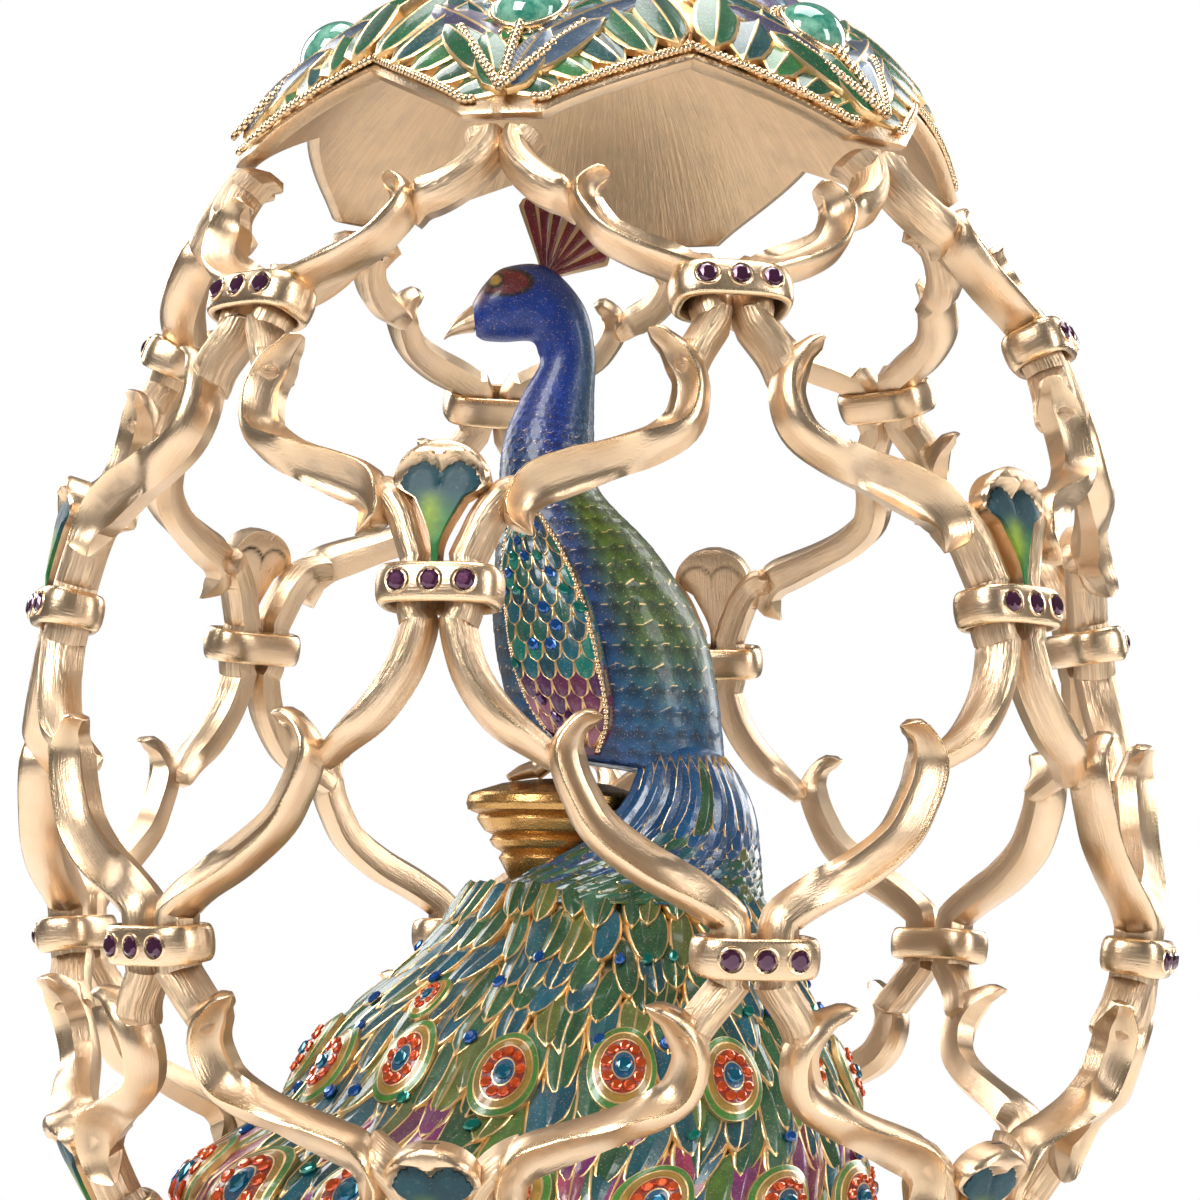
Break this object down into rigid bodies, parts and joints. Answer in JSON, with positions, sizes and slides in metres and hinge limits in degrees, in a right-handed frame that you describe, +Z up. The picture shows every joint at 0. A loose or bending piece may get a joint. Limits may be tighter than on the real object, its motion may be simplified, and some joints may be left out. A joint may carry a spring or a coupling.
{
  "type": "ornamental egg",
  "caption": "Jewelled openwork egg on a low foot: waved gilt rods bound by bands and palmettes under an enamelled cap, with a peacock on a pedestal inside.",
  "frame": {"origin": "middle of the underside, on the surface it stands on", "axes": "+Z up, -Y towards the front, +X to the right seen from the front"},
  "size_m": [0.13, 0.13, 0.2014],
  "materials": {
    "gilt": "satin, darkened in the recesses",
    "feathers": "translucent green enamel between gilt ridges",
    "plumage": "blue and green enamel with gilt edges",
    "jade": "polished green-teal stone",
    "amber": "amber-gold",
    "ground": "green enamel"
  },
  "bodies": {
    "root": {"trellis_rod_right_1": "gilt", "trellis_rod_right_2": "gilt", "trellis_rod_right_3": "gilt", "trellis_rod_right_4": "gilt", "trellis_rod_right_5": "gilt", "trellis_rod_right_6": "gilt", "trellis_rod_left_1": "gilt", "trellis_rod_left_2": "gilt", "trellis_rod_left_3": "gilt", "trellis_rod_left_4": "gilt", "trellis_rod_left_5": "gilt", "trellis_rod_left_6": "gilt", "upper_band_1": "gilt", "upper_band_2": "gilt", "upper_band_3": "gilt", "upper_band_4": "gilt", "upper_band_5": "gilt", "upper_band_6": "gilt", "middle_band_1": "gilt", "middle_band_2": "gilt", "middle_band_3": "gilt", "middle_band_4": "gilt", "middle_band_5": "gilt", "middle_band_6": "gilt", "palmette_band_1": "gilt", "palmette_band_2": "gilt", "palmette_band_3": "gilt", "palmette_band_4": "gilt", "palmette_band_5": "gilt", "palmette_band_6": "gilt", "lower_palmette_band_1": "gilt", "lower_palmette_band_2": "gilt", "lower_palmette_band_3": "gilt", "lower_palmette_band_4": "gilt", "lower_palmette_band_5": "gilt", "lower_palmette_band_6": "gilt", "cabochon_1": "jade", "cabochon_2": "jade", "cabochon_3": "jade", "cabochon_4": "jade", "cabochon_5": "jade", "cabochon_6": "jade", "cap": "feathers", "finial": "gilt", "finial_stone": "jade", "peacock": "plumage", "pedestal": "amber", "cage_floor": "ground", "collar": "gilt", "base": "gilt"}
  },
  "joints": []
}
